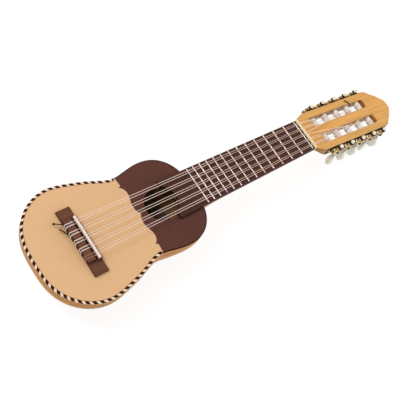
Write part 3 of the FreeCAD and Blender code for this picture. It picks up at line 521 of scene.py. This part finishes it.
class Path:
    """A line through points, read by the distance along it."""

    def __init__(self, points):
        self.points = points
        self.marks = [0.0]
        for start, end in zip(points, points[1:]):
            self.marks.append(self.marks[-1] + (end - start).length)
        self.length = self.marks[-1]

    def at(self, distance):
        distance = min(max(distance, 0.0), self.length)
        number = 0
        while number < len(self.marks) - 2 and self.marks[number + 1] < distance:
            number += 1
        span = self.marks[number + 1] - self.marks[number]
        share = (distance - self.marks[number]) / span if span else 0
        return self.points[number].lerp(self.points[number + 1], share)

    def outward(self, distance):
        step = 0.5 * MM
        run = self.at(distance + step) - self.at(distance - step)
        return Vector((run.y, -run.x, 0)).normalized()


# ------------------------------------------------------------ drawn pieces

def make_rope(outer, bottom, top, materials):
    """Dark slanted pieces let into the cream binding, on its top and its outer face."""
    width = ROPE_WIDTH * MM
    proud = 0.04 * MM
    sunk = 0.3 * MM
    slant = ROPE_SLANT * MM
    pitch = outer.length / ROPE_PIECES
    dark = pitch * ROPE_DARK_SHARE
    rows = 5
    # Shift along the binding, inset, level and whether the corner lies under the skin.
    section = [(-slant, width, top, 0), (0.0, 0.0, top, 0), (slant / 3, 0.0, bottom, 0),
               (slant / 3, 0.0, bottom, 1), (0.0, 0.0, top, 1), (-slant, width, top, 1)]
    points, faces = [], []
    for number in range(ROPE_PIECES):
        start = (number + 0.5) * pitch - dark / 2
        faces += swept_faces(rows, len(section), len(points))
        for row in range(rows):
            along = start + dark * row / (rows - 1)
            for shift, inset, level, under in section:
                depth = sunk if under else -proud
                spot = min(max(along + shift, 0.0), outer.length)
                place = outer.at(spot)
                place -= outer.outward(spot) * (depth if inset == 0.0 else inset)
                place.z = level - depth if level == top else level
                points.append(place)
    add_mesh("rope_dark_pieces", points, faces, materials["rope_dark"], "instrument")


def make_rope_line(outer, top, materials):
    """Thin dark line let in along the inner side of the binding."""
    steps = 220
    wide, proud, sunk = 0.45 * MM, 0.03 * MM, 0.1 * MM
    section = [(0.0, -sunk), (wide, -sunk), (wide, proud), (0.0, proud)]
    points = []
    for step in range(steps + 1):
        distance = outer.length * step / steps
        for inset, level in section:
            place = outer.at(distance) - outer.outward(distance) * (ROPE_WIDTH * MM + inset)
            place.z = top + level
            points.append(place)
    faces = swept_faces(steps + 1, len(section))
    add_mesh("rope_line", points, faces, materials["rope_dark"], "instrument")


def make_ties(materials):
    """Each string comes out behind the tie block, over it, round itself in front and back over."""
    over = TIE_TOP + STRING_RADIUS + 0.08
    for side in (1, -1):
        for number, row in enumerate(TIE_ROWS):
            lean = TIE_LEAN if number % 2 else -TIE_LEAN
            y = side * row
            path = [
                (TIE_BACK - 0.6, y, TIE_HOLE), (TIE_BACK - 1.5, y, TIE_HOLE),
                (TIE_BACK - 1.7, y, TIE_HOLE + 2.2), (TIE_BACK - 1.0, y, over),
                (TIE_BACK + 0.8, y + lean * 0.8, over + 0.05), (TIE_BACK + 5, y + lean, over),
                (TIE_FRONT - 0.6, y + lean, over + 0.05), (TIE_FRONT + 0.9, y + lean * 1.6, over - 0.4),
                (TIE_FRONT + 0.9, y + lean, TIE_TOP - 2.6), (TIE_FRONT + 0.8, y - lean, TIE_TOP - 2.2),
                (TIE_FRONT + 0.6, y - lean * 1.6, over - 0.2), (TIE_FRONT - 1.0, y - lean, over + 0.05),
                (TIE_BACK + 5, y - lean, over), (TIE_BACK + 0.6, y - lean, over + 0.05),
                (TIE_BACK - 1.2, y - lean * 1.6, over - 0.3), (TIE_BACK - 1.9, y - 0.6, TIE_TOP - 1.0),
                (TIE_BACK - 2.3, y - 1.7, TIE_TOP - 0.6), (TIE_BACK - 2.9, y - 2.6, TIE_TOP - 1.6),
            ]
            points = [Vector(point) * MM for point in path]
            name = f"tie_{number + 1 + (len(TIE_ROWS) if side < 0 else 0)}"
            look = "dark_tie" if side < 0 and number < DARK_TIES else "tie_nylon"
            add_wire(name, points, STRING_RADIUS * MM, materials[look], "instrument")


def make_tails(wound):
    """Dark string ends: two behind the tie block with burnt knobs, one out of the upper slot."""
    for number, path, radius, knob_radius in ((1, LONG_TAIL, 0.7, 1.7), (2, SHORT_TAIL, 0.8, 1.25)):
        points = [Vector(point) * MM for point in path]
        add_wire(f"tail_{number}", points, radius * MM, wound, "instrument")
        add_ball(f"tail_knob_{number}", points[-1], knob_radius * MM, wound, "instrument")
    points = [head_point(*spot) for spot in SLOT_TAIL]
    add_wire("slot_tail", points, 0.75 * MM, wound, "instrument")


def make_nut_shade_sheet(ebony):
    """Thin black sheet between the zero fret and the nut, a little proud of the board: painted shade,
    standing in for the shadow that falls on the board there.
    """
    start, end, half = ZERO_FRET + 0.95, NUT_FRONT, BOARD_NUT_HALF
    low, high, round_off = BOARD_TOP, BOARD_TOP + 0.22, 0.1
    section = [(start, low), (start, high - round_off), (start + round_off, high), (end, high),
               (end, low)]
    points = [Vector((x, y, z)) * MM for y in (-half, half) for x, z in section]
    faces = swept_faces(2, len(section))
    join_close_points(add_mesh("nut_shade_sheet", points, faces, ebony, "instrument"))


def tuner_places():
    """Number, side of the head and distance along it for the ten tuners."""
    for number in range(2 * TUNERS_PER_SIDE):
        side = 1 if number < TUNERS_PER_SIDE else -1
        yield number + 1, side, TUNER_FIRST + TUNER_PITCH * (number % TUNERS_PER_SIDE)


def make_windings(clear):
    """Turns of string on each roller, from just before the string lands to the roller's middle."""
    pitch = 2.2 * STRING_RADIUS
    radius = BARREL_RADIUS + STRING_RADIUS + STRING_GAP
    middle = sum(BARREL_ENDS) / 2
    for number, side, along in tuner_places():
        spot = ROLLER_SPOTS[(number - 1) % TUNERS_PER_SIDE]
        inward = -1 if spot > middle else 1
        points = []
        for step in range(-1, int(WINDING_TURNS * WINDING_STEPS) + 1):
            angle = math.pi / 2 - 2 * math.pi * step / WINDING_STEPS
            across = spot + inward * pitch * step / WINDING_STEPS
            points.append(head_point(along + radius * math.cos(angle), side * across,
                                     -AXIS_DEPTH + radius * math.sin(angle)))
        add_wire(f"winding_{number}", points, STRING_RADIUS * MM, clear, f"post_{number}",
                 order=3)


def make_tuner_details(screw_metal, knob):
    """The screw on each gear and the cream knob on each worm's upper end."""
    up = Vector((math.sin(HEAD_TILT), 0, math.cos(HEAD_TILT)))
    for number, side, along in tuner_places():
        gear = head_point(along, side * (GEAR_FACE + 0.02), -AXIS_DEPTH)
        add_turned(f"gear_screw_{number}", GEAR_SCREW, gear, Vector((0, side, 0)), screw_metal,
                   f"post_{number}")
        worm = head_point(along + WORM_STEP, side * WORM_ACROSS, WORM_TOP)
        add_turned(f"worm_knob_{number}", WORM_KNOB, worm, up, knob, f"key_{number}",
                   smooth=True)


# ------------------------------------------------------------ stage

def seen_directly(tree):
    """One for a ray that reaches the camera, straight or off metal or through glass."""
    path = tree.nodes.new("ShaderNodeLightPath")
    either = tree.nodes.new("ShaderNodeMath")
    either.operation = "MAXIMUM"
    tree.links.new(path.outputs["Is Camera Ray"], either.inputs[0])
    tree.links.new(path.outputs["Is Glossy Ray"], either.inputs[1])
    through = tree.nodes.new("ShaderNodeMath")
    through.operation = "MAXIMUM"
    tree.links.new(either.outputs[0], through.inputs[0])
    tree.links.new(path.outputs["Is Transmission Ray"], through.inputs[1])
    return through


def make_floor():
    """A pale floor that looks white and still takes the object's shadow."""
    shader = Shader("floor_white")
    shader.set(Base_Color=(0.8, 0.8, 0.8, 1), Roughness=0.9, Specular_IOR_Level=0.0)
    glow = shader.node("ShaderNodeEmission")
    glow.inputs["Color"].default_value = (1, 1, 1, 1)
    glow.inputs["Strength"].default_value = 0.84
    matte = shader.node("ShaderNodeBsdfDiffuse")
    matte.inputs["Color"].default_value = (0.26, 0.26, 0.26, 1)
    both = shader.node("ShaderNodeAddShader")
    shader.link(glow, 0, both, 0)
    shader.link(matte, 0, both, 1)
    choose = shader.node("ShaderNodeMixShader")
    shader.link(seen_directly(shader.tree), 0, choose, 0)
    shader.link(shader.surface, 0, choose, 1)
    shader.link(both, 0, choose, 2)
    shader.link(choose, 0, shader.output, "Surface")
    reach = 6.0
    corners = [(-reach, -reach, 0), (reach, -reach, 0), (reach, reach, 0), (-reach, reach, 0)]
    mesh = bpy.data.meshes.new("floor")
    mesh.from_pydata(corners, [], [(0, 1, 2, 3)])
    mesh.materials.append(shader.material)
    floor = bpy.data.objects.new("floor", mesh)
    bpy.context.scene.collection.objects.link(floor)


def make_lights():
    world = bpy.data.worlds.new("studio")
    world.use_nodes = True
    tree = world.node_tree
    background = tree.nodes["Background"]
    background.inputs["Color"].default_value = (1, 1, 1, 1)
    strength = tree.nodes.new("ShaderNodeMapRange")
    strength.inputs["To Min"].default_value = 0.62
    strength.inputs["To Max"].default_value = 1.0
    tree.links.new(seen_directly(tree).outputs[0], strength.inputs["Value"])
    tree.links.new(strength.outputs[0], background.inputs["Strength"])
    bpy.context.scene.world = world
    add_lamp("key_lamp", (-0.8, 0.85, 1.6), 0.9, 14, (0.2, 0, 0.03))
    add_lamp("fill_lamp", (0.8, -0.55, 0.26), 0.45, 1.5, (0.45, -0.03, 0.04))


def add_lamp(name, place, size, power, target):
    lamp = bpy.data.lights.new(name, "AREA")
    lamp.shape = "DISK"
    lamp.size = size
    lamp.energy = power
    holder = bpy.data.objects.new(name, lamp)
    holder.location = place
    holder.rotation_euler = (Vector(place) - Vector(target)).to_track_quat("Z", "Y").to_euler()
    bpy.context.scene.collection.objects.link(holder)


def make_camera():
    camera = bpy.data.cameras.new("camera")
    camera.lens = 81
    camera.sensor_width = 36
    holder = bpy.data.objects.new("camera", camera)
    right = Vector((0.78632, -0.54648, 0.28821))
    up = Vector((0.38181, 0.79658, 0.46871))
    back = right.cross(up).normalized()
    up = back.cross(right)
    turn = Matrix((right, up, back)).transposed().to_4x4()
    holder.matrix_world = Matrix.Translation((-0.46036, -0.33153, 1.07745)) @ turn
    bpy.context.scene.collection.objects.link(holder)
    bpy.context.scene.camera = holder


materials = make_materials()
dress_nodes(materials)
binding = Path(wall_points("rope_binding", 1))
binding_bottom, binding_top = (corner.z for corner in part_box("rope_binding"))
make_rope(binding, binding_bottom, binding_top, materials)
make_rope_line(binding, binding_top, materials)
make_ties(materials)
make_tails(materials["wound"])
make_nut_shade_sheet(materials["ebony"])
make_windings(materials["nylon"])
make_tuner_details(materials["screw_metal"], materials["knob"])
make_floor()
make_lights()
make_camera()
bpy.context.scene.view_settings.view_transform = "Standard"
